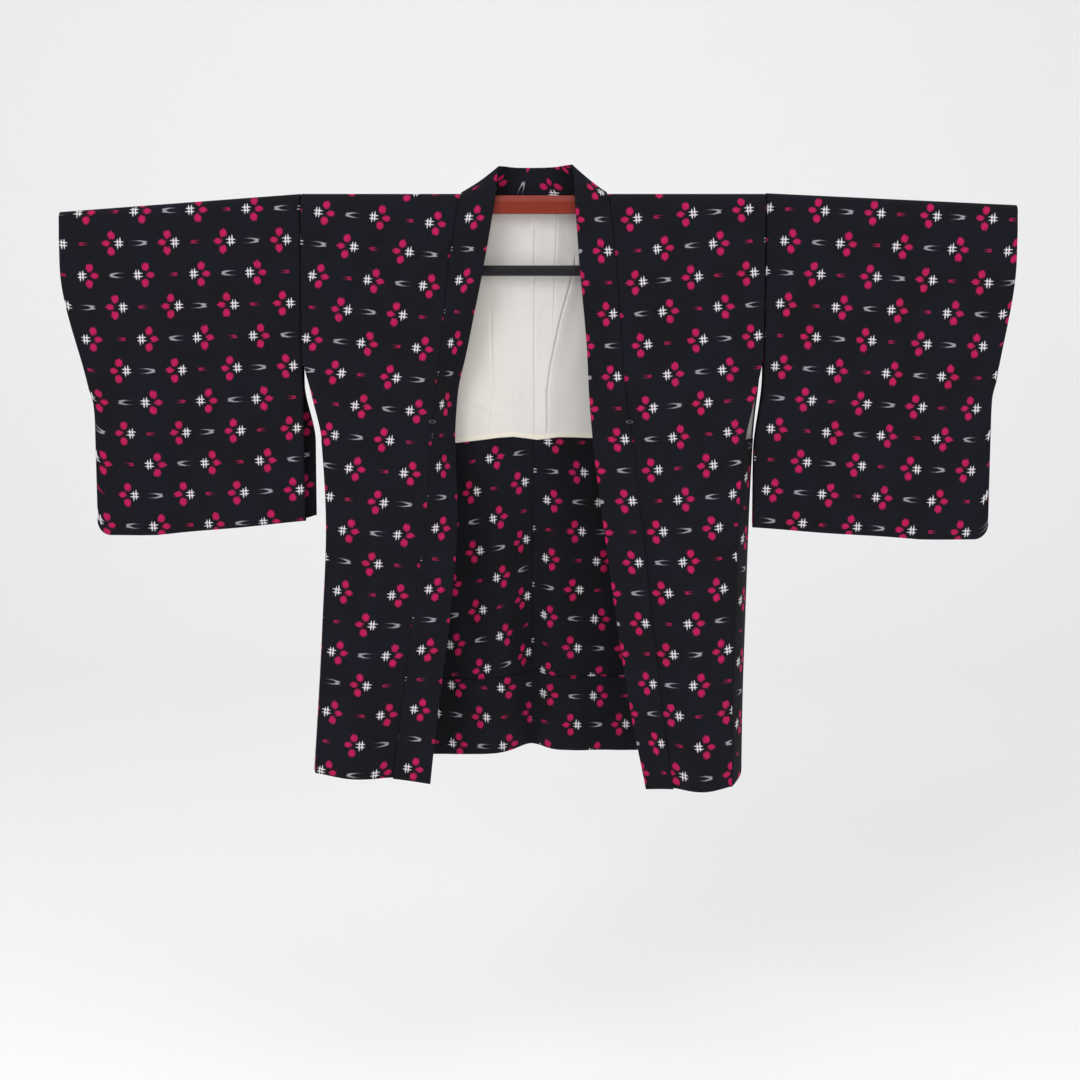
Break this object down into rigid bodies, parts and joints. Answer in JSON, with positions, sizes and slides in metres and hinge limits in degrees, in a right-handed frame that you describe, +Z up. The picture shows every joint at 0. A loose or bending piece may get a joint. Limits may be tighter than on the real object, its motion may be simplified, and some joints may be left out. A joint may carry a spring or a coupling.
{
  "type": "haori jacket on a kimono hanger",
  "caption": "Haori jacket in dark kasuri cloth with wide square sleeves, open front, long collar band and ivory back lining, hung on a straight kimono hanger.",
  "frame": {"origin": "middle of the hanger's red bar, in the neck of the jacket", "axes": "+X along the bar, towards the sleeve on the right as seen from the front; +Y away from the front; +Z up"},
  "size_m": [1.261, 0.1574, 0.8388],
  "materials": {
    "kasuri_cloth": "matt woven wool, near-black with a small ikat repeat of magenta petals, white crossed strokes and grey arrows",
    "lining_cloth": "plain ivory silk, soft low sheen",
    "cord": "matt twisted thread",
    "red_lacquer": "red-brown lacquer, soft gloss",
    "black_rod": "black enamel, soft gloss"
  },
  "bodies": {
    "root": {"body_panel_left": "kasuri_cloth", "body_panel_right": "kasuri_cloth", "sleeve_left": "kasuri_cloth", "sleeve_right": "kasuri_cloth", "gusset_left": "kasuri_cloth", "gusset_right": "kasuri_cloth", "collar": "kasuri_cloth", "hem_facing_left": "kasuri_cloth", "hem_facing_right": "kasuri_cloth", "lining_left": "lining_cloth", "lining_right": "lining_cloth", "tie_loop_left": "cord", "tie_loop_right": "cord", "hanger_bar": "red_lacquer", "hanger_arm_left": "black_rod", "hanger_arm_right": "black_rod", "hanger_link_left": "black_rod", "hanger_link_right": "black_rod", "hanger_rod": "black_rod"}
  },
  "joints": []
}
